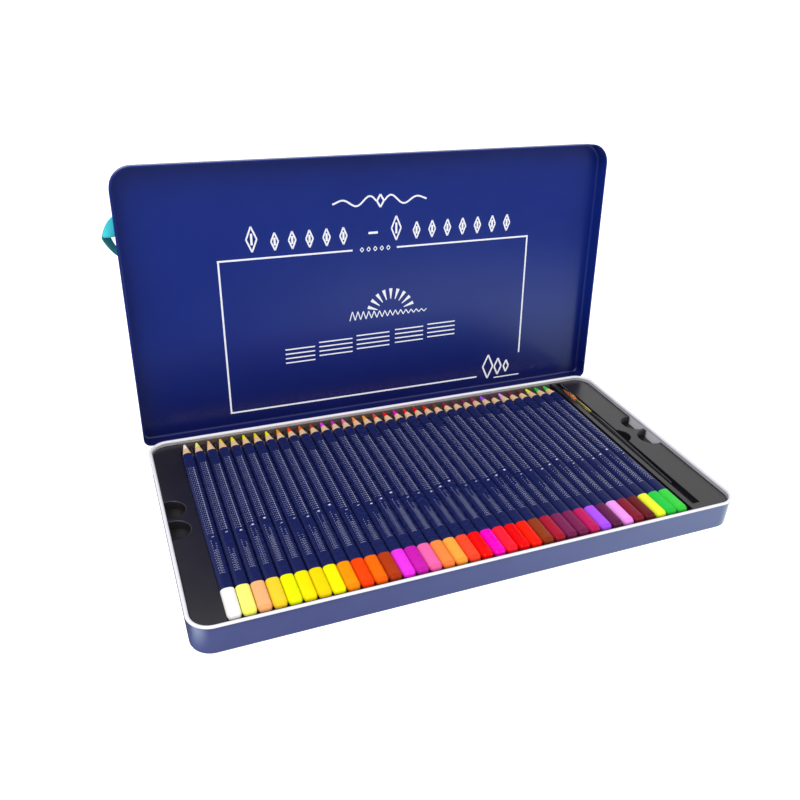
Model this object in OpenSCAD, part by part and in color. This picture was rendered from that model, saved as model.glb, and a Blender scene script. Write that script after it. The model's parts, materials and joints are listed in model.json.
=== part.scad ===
// Colored pencil tin: a drawn steel tin with a hinged lid and two lift-out trays of pencils.
// Origin at the centre of the base's underside, +Z up, hinge at +Y. The lid stands open.

/* [Tin] */
// Height of the base, underside to the top of the rim
base_h = 20.1; // [19.6:0.1:22]
// Outer radius of the tin's upright corners, over the rim
corner_r = 13.5; // [12:0.5:18]
// Thickness of the steel sheet
sheet_t = 0.45; // [0.35:0.05:0.6]
// Diameter of the rolled rim
rim_roll_d = 2.4; // [2:0.1:2.6]
// How far the rolled rim stands out of the base's wall
rim_proud = 0.9; // [0.6:0.1:1.2]
// Outside radius where the base's wall turns into its floor
floor_edge_r = 1.6; // [1:0.1:2.2]

/* [Lid] */
// Depth of the lid, from its edge to its outer face
lid_depth = 10.5; // [9.5:0.1:14]
// Angle between the closed lid and the open one
lid_open_deg = 95; // [80:0.1:100]
// Gap between the closed lid's wall and the rolled rim
lid_gap = 0.3; // [0.3:0.05:0.5]
// Outside radius where the lid's wall turns into its face
lid_edge_r = 2; // [1.2:0.1:3]
// Outer radius of the lid's two upright corners beside the hinges
lid_back_corner_r = 4.6; // [4:0.1:14]
// Height of the hem folded round the lid's edge
hem_h = 1.3; // [1:0.1:2]
// How far the closed lid's edge lies below the rim's top
edge_drop = 5.3; // [4.8:0.1:6]
// How far each snap dimple is pressed into the lid's wall
dimple_h = 0.2; // [0.1:0.05:0.25]
// Distance of the side dimples from the lid's hinge side
dimple_from_back = 27; // [20:0.5:40]
// Distance of the front dimples from the lid's left and right sides
dimple_from_side = 40.5; // [30:0.5:60]

/* [Hinges] */
// Distance of each hinge's middle from the tin's side
hinge_from_side = 80.7; // [50:0.1:110]
// How far the hinge axis lies below the rim's top
axis_drop = 5.3; // [4.8:0.1:6]
// Distance of the hinge axis behind the rolled rim
axis_behind_rim = 2.3; // [2.2:0.1:3]
// Radius of the hinge pin
pin_r = 0.8; // [0.6:0.05:0.9]
// Radial running gap between a pin and its knuckles
pin_gap = 0.05; // [0.03:0.01:0.08]
// Length of one knuckle
knuckle_l = 8; // [6:0.5:12]
// Gap between two knuckles
knuckle_gap = 0.4; // [0.3:0.1:0.8]
// Length of the base's hinge plate below its knuckle
leaf_drop = 8; // [5:0.5:9]

/* [Trays] */
// Thickness of the trays' formed plastic
tray_t = 0.6; // [0.5:0.05:0.8]
// Gap between a tray's edge and the rolled rim
tray_gap = 0.35; // [0.3:0.05:0.8]
// How far the upper tray's deck lies below the rim's top
deck_drop = 2.9; // [2.5:0.1:3.5]
// Height of one layer, from the deck of one tray to the deck of the next
layer_h = 7.6; // [7.4:0.1:8]
// Width of the deck left of the pencils
left_deck_w = 17.9; // [17:0.1:22]
// Width of the deck right of the pencils, with the brush groove
right_deck_w = 31.3; // [30:0.1:38]
// Clear strip between the last pencil and the deck on its right
side_gap = 3; // [2.8:0.1:4]
// Depth of the deck in front of the pencils' dipped ends
front_margin = 3.05; // [2.6:0.05:5]
// Depth of the deck behind the pencils' points
back_margin = 1.6; // [1.4:0.1:4]
// Gap between a pencil and its groove
groove_gap = 0.25; // [0.25:0.05:0.3]
// Height of the ribs between two grooves
rib_h = 3.2; // [3:0.1:3.8]
// Diameter of a finger notch
notch_d = 18.4; // [14:0.2:20]
// How far a finger notch reaches in from the tray's edge
notch_reach = 12; // [9:0.5:14]
// Distance between the two finger notches of one side
notch_pitch = 20.6; // [20:0.1:26]
// Place of the notch pair, towards the hinge from the middle
notch_y = 5.5; // [-20:0.5:20]
// Depth of a finger notch below the deck
notch_deep = 6; // [4:0.2:6.5]

/* [Pencils] */
// Pencils in one tray
pencils = 36; // [36:1:36]
// Distance from one pencil to the next
pencil_pitch = 8.215; // [8.2:0.005:8.3]
// Length of a sharpened pencil
pencil_l = 175.5; // [165:0.5:180]
// Width of a pencil's flat side, over its rounded edges
pencil_w = 7.8; // [7.4:0.05:7.8]
// Radius of a pencil's rounded edges
pencil_edge_r = 2.3; // [2:0.05:2.4]
// Radius of the slight bulge of a pencil's three sides
pencil_side_r = 9; // [7:0.5:14]
// How far the upper pencils stand above their tray's deck
pencil_proud = 2.3; // [1.8:0.1:2.5]
// Radius of the coloured lead
lead_r = 1.75; // [1.4:0.05:2.1]
// Gap that the glue fills between the lead and its bore
glue_gap = 0.02; // [0.01:0.01:0.04]
// Radius of the blunted lead point
point_r = 0.5; // [0.2:0.05:0.7]
// Length of the sharpened cone, measured where a flat side ends
cone_l = 12.4; // [9:0.1:17]
// Bevel of the flat sides at the pencil's dipped end
end_bevel = 0.9; // [0.5:0.05:1.3]

/* [Brush] */
// Distance of the brush's axis from the tray's right edge
brush_from_side = 24.7; // [24:0.1:26]
// Width of the brush groove
brush_groove_w = 5.6; // [5.2:0.1:6]
// How far the groove's front end lies behind the front of the pencils' bay
brush_groove_step = 5.1; // [2:0.1:10]
// How far the brush's axis lies below the deck
brush_drop = 1.4; // [1:0.1:2]
// Distance of the hair's tip from the groove's far end
brush_tip_gap = 8.6; // [7:0.1:12]
// Radius of the fingertip well beside the brush
well_r = 8.5; // [7:0.1:9.5]
// Place of the fingertip well, towards the hinge from the middle
well_y = 3.3; // [-10:0.1:10]
// Depth of the fingertip well below the deck
well_deep = 5; // [4:0.1:6]
// Length of the brush, from the handle's end to the hair's tip
brush_l = 138; // [130:1:145]
// Largest radius of the brush's handle
handle_r = 2.1; // [1.6:0.05:2.2]
// Radius of the metal ferrule
ferrule_r = 1.7; // [1.2:0.05:1.9]
// Length of the ferrule
ferrule_l = 25; // [20:1:34]
// Length of the hair that stands out of the ferrule
hair_l = 15; // [9:0.5:18]
// Length of the clear sleeve over the hair
sleeve_l = 23; // [18:0.5:28]
// How far the clear sleeve reaches past the hair's tip
sleeve_over_tip = 5.6; // [2:0.1:6]
// Wall of the clear sleeve
sleeve_wall = 0.3; // [0.2:0.05:0.4]

/* [Ribbon loop] */
// Distance of the loop's middle from the lid's back edge
loop_from_back = 143; // [100:1:160]
// Length of the loop along the lid's side
loop_l = 24; // [16:1:40]
// How far the loop stands out of the lid's side
loop_out = 8; // [6:0.5:12]
// Width of the ribbon
ribbon_w = 7; // [5:0.5:8]
// Thickness of the ribbon
ribbon_t = 0.7; // [0.5:0.1:1]
// How far the ribbon lies above the middle of the lid's wall
ribbon_rise = 0.8; // [0:0.1:1.2]

/* [Hidden] */
$fn = 48;

tips = [
    "white", "lemon_pale", "peach", "maize", "lemon", "yellow", "gold", "canary", "amber",
    "vermilion", "orange", "sienna", "magenta", "purple", "pink", "apricot", "ochre", "coral",
    "red", "fuchsia", "crimson", "scarlet", "tomato", "brown", "ruby", "plum", "wine", "cerise",
    "violet", "aubergine", "orchid", "garnet", "maroon", "citron", "green", "leaf_green"
];
tip_colours = [
    [1, 1, 1], [1, 1, 0.43], [1, 0.67, 0.47], [1, 0.8, 0.2], [0.97, 1, 0], [1, 0.96, 0],
    [1, 0.86, 0], [1, 1, 0], [1, 0.63, 0.04], [1, 0.3, 0], [1, 0.47, 0], [0.75, 0.28, 0.08],
    [1, 0.2, 1], [0.82, 0.12, 0.78], [1, 0.37, 0.69], [1, 0.57, 0.3], [1, 0.7, 0.26],
    [1, 0.33, 0.24], [1, 0.06, 0.08], [1, 0, 0.86], [1, 0.16, 0.31], [1, 0.04, 0.06],
    [1, 0.14, 0.04], [0.59, 0.3, 0.12], [0.8, 0.12, 0.28], [0.53, 0.14, 0.37],
    [0.47, 0.12, 0.31], [0.84, 0.08, 0.37], [0.69, 0.3, 1], [0.37, 0.12, 0.28],
    [0.96, 0.59, 0.98], [0.59, 0.1, 0.16], [0.43, 0.08, 0.14], [0.99, 1, 0.18],
    [0.18, 0.86, 0.28], [0.28, 0.9, 0.33]
];
lower_groups = ["greens", "blues", "browns", "greys"];
lower_colours = [[0.1, 0.55, 0.25], [0.1, 0.25, 0.75], [0.5, 0.32, 0.18], [0.45, 0.46, 0.48]];

function two_digits(n) = n < 10 ? str("0", n) : str(n);
pencil_nodes = [for (i = [0:pencils - 1]) str("pencil_", two_digits(i + 1), "_", tips[i])];
lower_nodes = [for (g = lower_groups) str("lower_pencils_", g)];

// Trays, in plan
rows_w = pencils * pencil_pitch;
tray_w = left_deck_w + rows_w + side_gap + right_deck_w;
tray_d = front_margin + pencil_l + back_margin;
tray_corner_r = corner_r - rim_roll_d - tray_gap;

// Base
rim_w = tray_w + 2 * (rim_roll_d + tray_gap);
rim_d = tray_d + 2 * (rim_roll_d + tray_gap);
wall_w = rim_w - 2 * rim_proud;
wall_d = rim_d - 2 * rim_proud;
wall_corner_r = corner_r - rim_proud;
rim_roll_r = rim_roll_d / 2;
// flat strip that a swept wall section has past its rounded edge
lap = 1;
// how far fused pieces run into each other
bite = 0.3;
// how far cuts run past what they cut
over = 1;
// colour of the trays' sheet
tray_black = [0.14, 0.13, 0.15];
// how far a pencil's sides lie inside the curve that touches its rounded edges
flat_in = 0.01;

// Lid, closed
lid_in_w = rim_w + 2 * lid_gap;
lid_in_d = rim_d + 2 * lid_gap;
lid_w = lid_in_w + 2 * sheet_t;
lid_d = lid_in_d + 2 * sheet_t;
lid_corner_r = corner_r + lid_gap + sheet_t;
lid_edge_z = base_h - edge_drop;

// Hinges
hinge_x = rim_w / 2 - hinge_from_side;
axis_y = rim_d / 2 + axis_behind_rim;
axis_z = base_h - axis_drop;
eye_in_r = pin_r + pin_gap;
eye_r = eye_in_r + sheet_t + 0.1;
pin_l = 3 * knuckle_l + 2 * knuckle_gap;
slot_l = knuckle_l + 2 * knuckle_gap;
slot_top = axis_z - lid_edge_z + eye_r + knuckle_gap;

// Pencils
edge_to_axis = (pencil_w / 2 - pencil_edge_r) / cos(30);
side_less_edge = pencil_side_r - pencil_edge_r;
side_shift = (sqrt(4 * pow(side_less_edge, 2) - 3 * pow(edge_to_axis, 2)) - edge_to_axis) / 2;
face_to_axis = pencil_side_r - side_shift;
pencil_reach_r = edge_to_axis + pencil_edge_r;
pencil_h = face_to_axis + pencil_reach_r;
side_end = [edge_to_axis * cos(30), edge_to_axis / 2 + side_shift] * pencil_side_r / side_less_edge;
side_end_r = norm(side_end - [0, side_shift]);
cone_slope = (face_to_axis - point_r) / cone_l;

// Trays, in height
upper_deck_z = base_h - deck_drop;
lower_deck_z = upper_deck_z - layer_h;
upper_tray_z = lower_deck_z;
lower_tray_z = sheet_t;
upper_pencil_z = upper_deck_z + pencil_proud - pencil_h;
lower_pencil_z = lower_tray_z + tray_t + groove_gap;

// Bay of a tray and its grooves
first_pencil_x = -tray_w / 2 + left_deck_w + pencil_pitch / 2;
pencil_end_y = -tray_d / 2 + front_margin;
bay_end_gap = 0.6;
bay_x0 = first_pencil_x - pencil_pitch / 2;
bay_x1 = bay_x0 + rows_w + side_gap;
middle_x0 = bay_x0 - tray_t;
middle_x1 = bay_x1 + tray_t;
bay_y0 = pencil_end_y - bay_end_gap;
bay_y1 = pencil_end_y + pencil_l + bay_end_gap;
groove_half = (2 * face_to_axis - pencil_reach_r + groove_gap) * tan(30);
groove_run = rib_h * tan(30);
rib_half = pencil_pitch / 2 - groove_half - groove_run;
wall_shift = tray_t * tan(30);

// Brush
brush_x = tray_w / 2 - brush_from_side;
brush_y0 = bay_y0 + brush_groove_step;
brush_axis_z = upper_deck_z - brush_drop;
brush_floor_z = brush_axis_z - handle_r - groove_gap;
brush_tip_y = bay_y1 - brush_tip_gap;

// ---------- helpers ----------

// A rectangle with round corners, made of plain circles and rectangles. The two corners at +Y
// may have a radius of their own.
module round_rect(w, d, r, back_r) {
    translate([-w / 2 + r, -d / 2]) square([w - 2 * r, d / 2]);
    translate([-w / 2 + back_r, 0]) square([w - 2 * back_r, d / 2]);
    translate([-w / 2, -d / 2 + r]) square([w, d - r - back_r]);
    for (x = [-1, 1]) {
        translate([x * (w / 2 - r), -d / 2 + r]) circle(r = r);
        translate([x * (w / 2 - back_r), d / 2 - back_r]) circle(r = back_r);
    }
}

// Extrudes a wall section along a straight side of the length run, centred, whose outer face
// lies at Y = -out
module run_straight(run, out) {
    translate([run / 2, -out, 0])
        rotate([0, -90, 0])
            linear_extrude(run)
                rotate(90) mirror([0, 1]) children();
}

// Sweeps a wall section round a rectangle with round corners, the two at +Y with a radius of
// their own. The section's X runs inwards from the outline, and its Y upwards.
module sweep_round(w, d, r, back_r) {
    run_straight(w - 2 * r, d / 2) children();
    rotate([0, 0, 180]) run_straight(w - 2 * back_r, d / 2) children();
    for (turn = [90, 270])
        translate([0, (r - back_r) / 2, 0])
            rotate([0, 0, turn]) run_straight(d - r - back_r, w / 2) children();
    for (x = [-1, 1], y = [-1, 1]) {
        corner = y > 0 ? back_r : r;
        translate([x * (w / 2 - corner), y * (d / 2 - corner), 0])
            rotate([0, 0, x > 0 ? (y > 0 ? 0 : -90) : (y > 0 ? 90 : 180)])
                rotate_extrude(angle = 90)
                    translate([corner, 0]) mirror([1, 0]) children();
    }
}

// Turns what is drawn with the lid closed to where it lies with the lid open
module lid_opened() {
    translate([0, axis_y, axis_z])
        rotate([-lid_open_deg, 0, 0])
            translate([0, -axis_y, -axis_z]) children();
}

// ---------- tin ----------

// Wall section of the base: floor edge, wall and rolled rim
module base_section() {
    difference() {
        union() {
            translate([0, floor_edge_r]) square([sheet_t, base_h - rim_roll_r - floor_edge_r]);
            intersection() {
                translate([floor_edge_r, floor_edge_r]) circle(r = floor_edge_r);
                square(floor_edge_r);
            }
            translate([floor_edge_r, 0]) square([lap, sheet_t]);
        }
        translate([floor_edge_r, floor_edge_r]) circle(r = floor_edge_r - sheet_t);
    }
    translate([rim_roll_r - rim_proud, base_h - rim_roll_r]) circle(r = rim_roll_r);
}

// One-piece drawn base with its rolled rim
module base_shell() {
    inset = floor_edge_r + lap - bite;
    flat_r = wall_corner_r - inset;
    color("midnightblue") {
        sweep_round(wall_w, wall_d, wall_corner_r, wall_corner_r) base_section();
        linear_extrude(sheet_t)
            round_rect(wall_w - 2 * inset, wall_d - 2 * inset, flat_r, flat_r);
    }
}

// Wall section of the lid, from its hemmed edge to its rounded top edge
module lid_section() {
    top = lid_depth - lid_edge_r;
    square([sheet_t, top]);
    translate([-sheet_t, 0]) square([sheet_t + 0.01, hem_h - sheet_t / 2]);
    translate([0, hem_h - sheet_t / 2]) circle(r = sheet_t);
    difference() {
        intersection() {
            translate([lid_edge_r, top]) circle(r = lid_edge_r);
            translate([0, top]) square(lid_edge_r);
        }
        translate([lid_edge_r, top]) circle(r = lid_edge_r - sheet_t);
    }
    translate([lid_edge_r, lid_depth - sheet_t]) square([lap, sheet_t]);
}

// Snap dimple pressed inwards, on a wall whose inner face is at x = 0 and faces +X
module dimple() {
    translate([-sheet_t / 2, 0, 0])
        rotate([0, 90, 0]) cylinder(r1 = 1.7, r2 = 0.9, h = dimple_h + sheet_t / 2);
}

// Drawn lid with its dimples and its hem, which is cut away at the two hinges. The base's
// knuckles stand in slots of its wall.
module lid_shell() {
    inset = lid_edge_r + lap - bite;
    side_y = lid_d / 2 - dimple_from_back;
    front_x = lid_w / 2 - dimple_from_side;
    dimple_z = edge_drop - rim_roll_d - hem_h / 2;
    hem_cut_l = pin_l + 2 * knuckle_gap;
    color("midnightblue")
        lid_opened()
            translate([0, 0, lid_edge_z]) {
                difference() {
                    union() {
                        sweep_round(lid_w, lid_d, lid_corner_r, lid_back_corner_r)
                            lid_section();
                        translate([0, 0, lid_depth - sheet_t])
                            linear_extrude(sheet_t)
                                round_rect(lid_w - 2 * inset, lid_d - 2 * inset,
                                           lid_corner_r - inset, lid_back_corner_r - inset);
                    }
                    for (x = [-hinge_x, hinge_x]) {
                        translate([x - slot_l / 2, lid_in_d / 2 - over, -over])
                            cube([slot_l, 2 * over + sheet_t, slot_top + over]);
                        translate([x - hem_cut_l / 2, lid_d / 2, -over])
                            cube([hem_cut_l, over, hem_h + sheet_t + over]);
                    }
                }
                for (x = [-1, 1])
                    translate([x * lid_in_w / 2, side_y, dimple_z])
                        rotate([0, 0, x > 0 ? 180 : 0]) dimple();
                for (x = [-front_x, front_x])
                    translate([x, -lid_in_d / 2, dimple_z]) rotate([0, 0, 90]) dimple();
            }
}

// ---------- hinges ----------

// One knuckle: an eye round the pin
module eye(length) {
    rotate([0, 90, 0])
        difference() {
            cylinder(r = eye_r, h = length, center = true);
            cylinder(r = eye_in_r, h = length + over, center = true);
        }
}

// Middle knuckle of each hinge, its tongue and the plate that is fixed to the base's wall
module base_hinge_leaves() {
    tongue_z = axis_z - eye_r;
    wall_y = wall_d / 2;
    color("silver")
        for (x = [-hinge_x, hinge_x]) {
            translate([x, axis_y, axis_z]) eye(knuckle_l);
            translate([x - knuckle_l / 2, wall_y, tongue_z])
                cube([knuckle_l, axis_y - wall_y, sheet_t]);
            translate([x - knuckle_l, wall_y, tongue_z - leaf_drop])
                cube([2 * knuckle_l, sheet_t, leaf_drop + sheet_t]);
        }
}

// Outer knuckles of each hinge, their tongues and the plate that is fixed to the lid's wall
module lid_hinge_leaves() {
    side = knuckle_l + knuckle_gap;
    wall_y = lid_d / 2;
    tongue_z = axis_z + eye_r - sheet_t;
    plate_z = lid_edge_z + slot_top;
    plate_top = lid_edge_z + lid_depth - lid_edge_r;
    color("silver")
        lid_opened()
            for (x = [-hinge_x, hinge_x]) {
                for (s = [-side, side]) {
                    translate([x + s, axis_y, axis_z]) eye(knuckle_l);
                    translate([x + s - knuckle_l / 2, wall_y, tongue_z])
                        cube([knuckle_l, axis_y - wall_y, sheet_t]);
                    translate([x + s - knuckle_l / 2, wall_y, tongue_z])
                        cube([knuckle_l, sheet_t, plate_top - tongue_z]);
                }
                translate([x - pin_l / 2, wall_y, plate_z])
                    cube([pin_l, sheet_t, plate_top - plate_z]);
            }
}

// Plain wire pins
module hinge_pins() {
    color("gainsboro")
        for (x = [-hinge_x, hinge_x])
            translate([x, axis_y, axis_z])
                rotate([0, 90, 0]) cylinder(r = pin_r, h = pin_l, center = true);
}

// ---------- ribbon loop ----------

// Ribbon loop whose two ends are pressed together at the lid's side wall
module ribbon_loop() {
    in_r = (loop_l - 2 * ribbon_t) / 2;
    y = lid_d / 2 - loop_from_back;
    color("darkcyan")
        lid_opened()
            translate([-lid_w / 2, y, lid_edge_z + (lid_depth - ribbon_w) / 2 + ribbon_rise])
                linear_extrude(ribbon_w)
                    difference() {
                        loop_outline(0);
                        loop_outline(ribbon_t);
                    }
}

// Half-ellipse on the side wall, drawn in from its edge by an inset
module loop_outline(inset) {
    half = loop_l / 2;
    bulge_r = (half * half + loop_out * loop_out) / (2 * loop_out);
    intersection() {
        translate([bulge_r - loop_out, 0]) circle(r = bulge_r - inset, $fn = 96);
        translate([-loop_out - over, -half]) square([loop_out + over - inset, loop_l]);
    }
}

// ---------- pencils ----------

// Section of a pencil: a triangle with round edges, one flat side up, its lowest edge at 0
module pencil_section() {
    for (turn = [90, 210, 330])
        rotate(turn) translate([edge_to_axis, 0]) circle(r = pencil_edge_r);
    intersection() {
        rotate(30) pencil_side();
        rotate(150) pencil_side();
        rotate(270) pencil_side();
        circle(r = side_end_r);
    }
}

module pencil_side() {
    translate([-side_shift, 0]) circle(r = pencil_side_r - flat_in);
}

// Turned outline of a pencil, from its bevelled dipped end at 0 to its point
module pencil_turning() {
    far_r = pencil_reach_r + over;
    end_r = face_to_axis - end_bevel;
    rotate_extrude()
        polygon([
            [0, 0], [end_r, 0], [far_r, far_r - end_r],
            [far_r, pencil_l - (far_r - point_r) / cone_slope], [point_r, pencil_l],
            [0, pencil_l]
        ]);
}

// One pencil: a wooden casing sharpened to a cone, and its lead
module pencil(x, z, paint) {
    axis = pencil_h - face_to_axis;
    translate([x, pencil_end_y, z + axis])
        rotate([-90, 0, 0]) {
            color(paint)
                difference() {
                    intersection() {
                        linear_extrude(pencil_l) pencil_section();
                        pencil_turning();
                    }
                    translate([0, 0, -over]) cylinder(r = lead_r, h = pencil_l + 2 * over);
                }
            color(paint)
                intersection() {
                    cylinder(r = lead_r - glue_gap, h = pencil_l);
                    pencil_turning();
                }
        }
}

module upper_pencil(i) {
    pencil(first_pencil_x + i * pencil_pitch, upper_pencil_z, tip_colours[i]);
}

// A quarter of the lower layer
module lower_pencils(group) {
    share = pencils / len(lower_groups);
    for (i = [group * share:(group + 1) * share - 1])
        pencil(first_pencil_x + i * pencil_pitch, lower_pencil_z, lower_colours[group]);
}

// ---------- trays ----------

// Corrugated floor of a tray: grooves that hold the pencils, with ribs between them, and half
// a groove in the clear strip past the last rib
module groove_floor() {
    half = pencil_pitch / 2;
    end_x = rows_w + side_gap;
    top = [for (i = [0:pencils - 1], p = [
        [-half, rib_h], [-groove_half - groove_run, rib_h],
        [-groove_half, 0], [groove_half, 0], [groove_half + groove_run, rib_h]
    ]) [p[0] + i * pencil_pitch + half, p[1]]];
    under = [for (i = [pencils - 1:-1:0], p = [
        [groove_half + groove_run + wall_shift, rib_h - tray_t],
        [groove_half + wall_shift, -tray_t], [-groove_half - wall_shift, -tray_t],
        [-groove_half - groove_run - wall_shift, rib_h - tray_t], [-half, rib_h - tray_t]
    ]) [p[0] + i * pencil_pitch + half, p[1]]];
    strip_top = [[rows_w + rib_half, rib_h], [rows_w + rib_half + groove_run, 0], [end_x, 0]];
    strip_under = [
        [end_x, -tray_t], [rows_w + rib_half + groove_run - wall_shift, -tray_t],
        [rows_w + rib_half - wall_shift, rib_h - tray_t]
    ];
    polygon(concat(top, strip_top, strip_under, under));
}

// Outline of the notches of both sides, in plan, grown by the wall around them
module notch_plan(grow) {
    for (side = [-1, 1], y = [notch_y - notch_pitch / 2, notch_y + notch_pitch / 2])
        translate([side * (tray_w / 2 - notch_reach + notch_d / 2), y])
            circle(r = notch_d / 2 + grow);
}

// The part of a tray from x0 to x1
module tray_share(x0, x1) {
    intersection() {
        children();
        translate([x0, -tray_d, 0]) cube([x1 - x0, 2 * tray_d, 2 * base_h]);
    }
}

// One formed tray: skirt, deck, grooved bay and finger notches
module tray(low_z, deck_z, pencil_z) {
    height = deck_z - low_z;
    bay_w = bay_x1 - bay_x0;
    bay_l = bay_y1 - bay_y0;
    notch_z = deck_z - min(notch_deep, height - tray_t);
    in_r = tray_corner_r - tray_t;
    difference() {
        union() {
            // deck and skirt
            difference() {
                translate([0, 0, low_z])
                    linear_extrude(height)
                        round_rect(tray_w, tray_d, tray_corner_r, tray_corner_r);
                translate([0, 0, low_z - over])
                    linear_extrude(height + over - tray_t)
                        round_rect(tray_w - 2 * tray_t, tray_d - 2 * tray_t, in_r, in_r);
            }
            // walls of the bay
            translate([bay_x0 - tray_t, bay_y0 - tray_t, low_z])
                cube([bay_w + 2 * tray_t, bay_l + 2 * tray_t, height]);
            // walls and floors of the notches
            intersection() {
                translate([0, 0, notch_z - tray_t])
                    linear_extrude(deck_z - notch_z + tray_t) notch_plan(tray_t);
                translate([0, 0, low_z])
                    linear_extrude(height)
                        round_rect(tray_w, tray_d, tray_corner_r, tray_corner_r);
            }
        }
        translate([bay_x0, bay_y0, low_z - over]) cube([bay_w, bay_l, height + 2 * over]);
        translate([0, 0, notch_z]) linear_extrude(height) notch_plan(0);
    }
    translate([bay_x0, bay_y1 + bite, pencil_z - groove_gap])
        rotate([90, 0, 0]) linear_extrude(bay_l + 2 * bite) groove_floor();
}

// Groove that holds the brush, in plan
module brush_plan(grow) {
    translate([brush_x - brush_groove_w / 2 - grow, brush_y0 - grow])
        square([brush_groove_w + 2 * grow, bay_y1 - brush_y0 + 2 * grow]);
}

// Fingertip well on the outer side of the brush groove, in plan
module well_plan(grow) {
    reach = well_r + grow;
    intersection() {
        translate([brush_x, well_y]) circle(r = reach);
        translate([brush_x, well_y - reach]) square([reach, 2 * reach]);
    }
}

module whole_upper_tray() {
    well_z = upper_deck_z - well_deep;
    difference() {
        union() {
            tray(upper_tray_z, upper_deck_z, upper_pencil_z);
            translate([0, 0, brush_floor_z - tray_t])
                linear_extrude(upper_deck_z - brush_floor_z + tray_t)
                    brush_plan(tray_t);
            translate([0, 0, well_z - tray_t])
                linear_extrude(well_deep + tray_t) well_plan(tray_t);
        }
        translate([0, 0, brush_floor_z]) linear_extrude(layer_h) brush_plan(0);
        translate([0, 0, well_z]) linear_extrude(layer_h) well_plan(0);
    }
}

module whole_lower_tray() {
    tray(lower_tray_z, lower_deck_z, lower_pencil_z);
}

// Each tray is one sheet, given as its grooved middle and its two side decks
module upper_tray() {
    color(tray_black) tray_share(middle_x0, middle_x1) whole_upper_tray();
}

module upper_tray_left_deck() {
    color(tray_black) tray_share(-tray_w, middle_x0) whole_upper_tray();
}

module upper_tray_right_deck() {
    color(tray_black) tray_share(middle_x1, tray_w) whole_upper_tray();
}

module lower_tray() {
    color(tray_black) tray_share(middle_x0, middle_x1) whole_lower_tray();
}

module lower_tray_left_deck() {
    color(tray_black) tray_share(-tray_w, middle_x0) whole_lower_tray();
}

module lower_tray_right_deck() {
    color(tray_black) tray_share(middle_x1, tray_w) whole_lower_tray();
}

// ---------- brush ----------

// Places a turned piece on the brush's axis, with its +Z towards the hair's tip
module on_brush(from_tip) {
    translate([brush_x, brush_tip_y - from_tip, brush_axis_z]) rotate([-90, 0, 0]) children();
}

module brush_handle() {
    l = brush_l - hair_l - ferrule_l;
    belly = l * 0.72;
    color([0.1, 0.1, 0.11])
        on_brush(brush_l)
            rotate_extrude()
                polygon([
                    [0, 0], [0.5, 0], [0.8, 0.5], [1.1, l * 0.25], [1.6, l * 0.5],
                    [handle_r, belly], [handle_r, l * 0.86], [ferrule_r - sheet_t, l],
                    [ferrule_r - sheet_t, l + 8], [0, l + 8]
                ]);
}

module brush_ferrule() {
    crimp = 0.12;
    color("gold")
        on_brush(hair_l + ferrule_l)
            rotate_extrude()
                polygon([
                    [ferrule_r - sheet_t, 0], [ferrule_r, 0], [ferrule_r, 3],
                    [ferrule_r - crimp, 3.5], [ferrule_r, 4], [ferrule_r, 5],
                    [ferrule_r - crimp, 5.5], [ferrule_r, 6], [ferrule_r * 0.8, ferrule_l],
                    [ferrule_r * 0.8 - 0.25, ferrule_l], [ferrule_r - sheet_t, 8.5]
                ]);
}

module brush_hair() {
    root_r = ferrule_r * 0.8 - 0.3;
    color("sienna")
        on_brush(hair_l + 6)
            rotate_extrude()
                polygon([
                    [0, 0], [root_r, 0], [root_r, 6], [root_r + 0.15, 9],
                    [root_r, 6 + hair_l * 0.6], [0.15, 6 + hair_l], [0, 6 + hair_l]
                ]);
}

module brush_sleeve() {
    in_r = ferrule_r + groove_gap;
    color([0.85, 0.9, 0.92, 0.5])
        on_brush(sleeve_l - sleeve_over_tip)
            difference() {
                cylinder(r = in_r + sleeve_wall, h = sleeve_l);
                translate([0, 0, -over]) cylinder(r = in_r, h = sleeve_l + 2 * over);
            }
}

base_shell();
lid_shell();
base_hinge_leaves();
lid_hinge_leaves();
hinge_pins();
ribbon_loop();
upper_tray();
upper_tray_left_deck();
upper_tray_right_deck();
lower_tray();
lower_tray_left_deck();
lower_tray_right_deck();
brush_handle();
brush_ferrule();
brush_hair();
brush_sleeve();
for (i = [0:pencils - 1])
    upper_pencil(i);
for (g = [0:len(lower_groups) - 1])
    lower_pencils(g);
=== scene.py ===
import json
import math

import bmesh
import bpy
from mathutils import Matrix, Vector


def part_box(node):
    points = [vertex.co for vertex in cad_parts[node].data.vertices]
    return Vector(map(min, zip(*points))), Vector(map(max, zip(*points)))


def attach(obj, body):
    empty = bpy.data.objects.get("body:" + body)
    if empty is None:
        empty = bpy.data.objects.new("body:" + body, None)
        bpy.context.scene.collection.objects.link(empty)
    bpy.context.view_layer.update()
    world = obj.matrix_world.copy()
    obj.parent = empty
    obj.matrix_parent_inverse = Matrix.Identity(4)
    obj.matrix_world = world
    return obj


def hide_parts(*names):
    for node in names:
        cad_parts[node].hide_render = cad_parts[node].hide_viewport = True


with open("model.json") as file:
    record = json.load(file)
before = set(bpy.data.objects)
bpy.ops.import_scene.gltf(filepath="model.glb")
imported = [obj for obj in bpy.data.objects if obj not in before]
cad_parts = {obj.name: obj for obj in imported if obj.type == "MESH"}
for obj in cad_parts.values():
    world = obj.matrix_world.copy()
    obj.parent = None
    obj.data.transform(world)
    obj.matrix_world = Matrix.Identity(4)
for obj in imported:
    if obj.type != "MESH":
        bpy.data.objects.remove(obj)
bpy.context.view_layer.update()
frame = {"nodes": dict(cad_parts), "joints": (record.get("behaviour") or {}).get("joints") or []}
nodes = frame["nodes"]
MM = 0.001

# ---------------------------------------------------------------- base
# A pan drawn from one sheet of tinplate, its edge rolled outwards over the wall.
# It is lacquered deep blue outside and white inside, and the white runs over the top of the
# rolled rim to where the blue starts.


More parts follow.
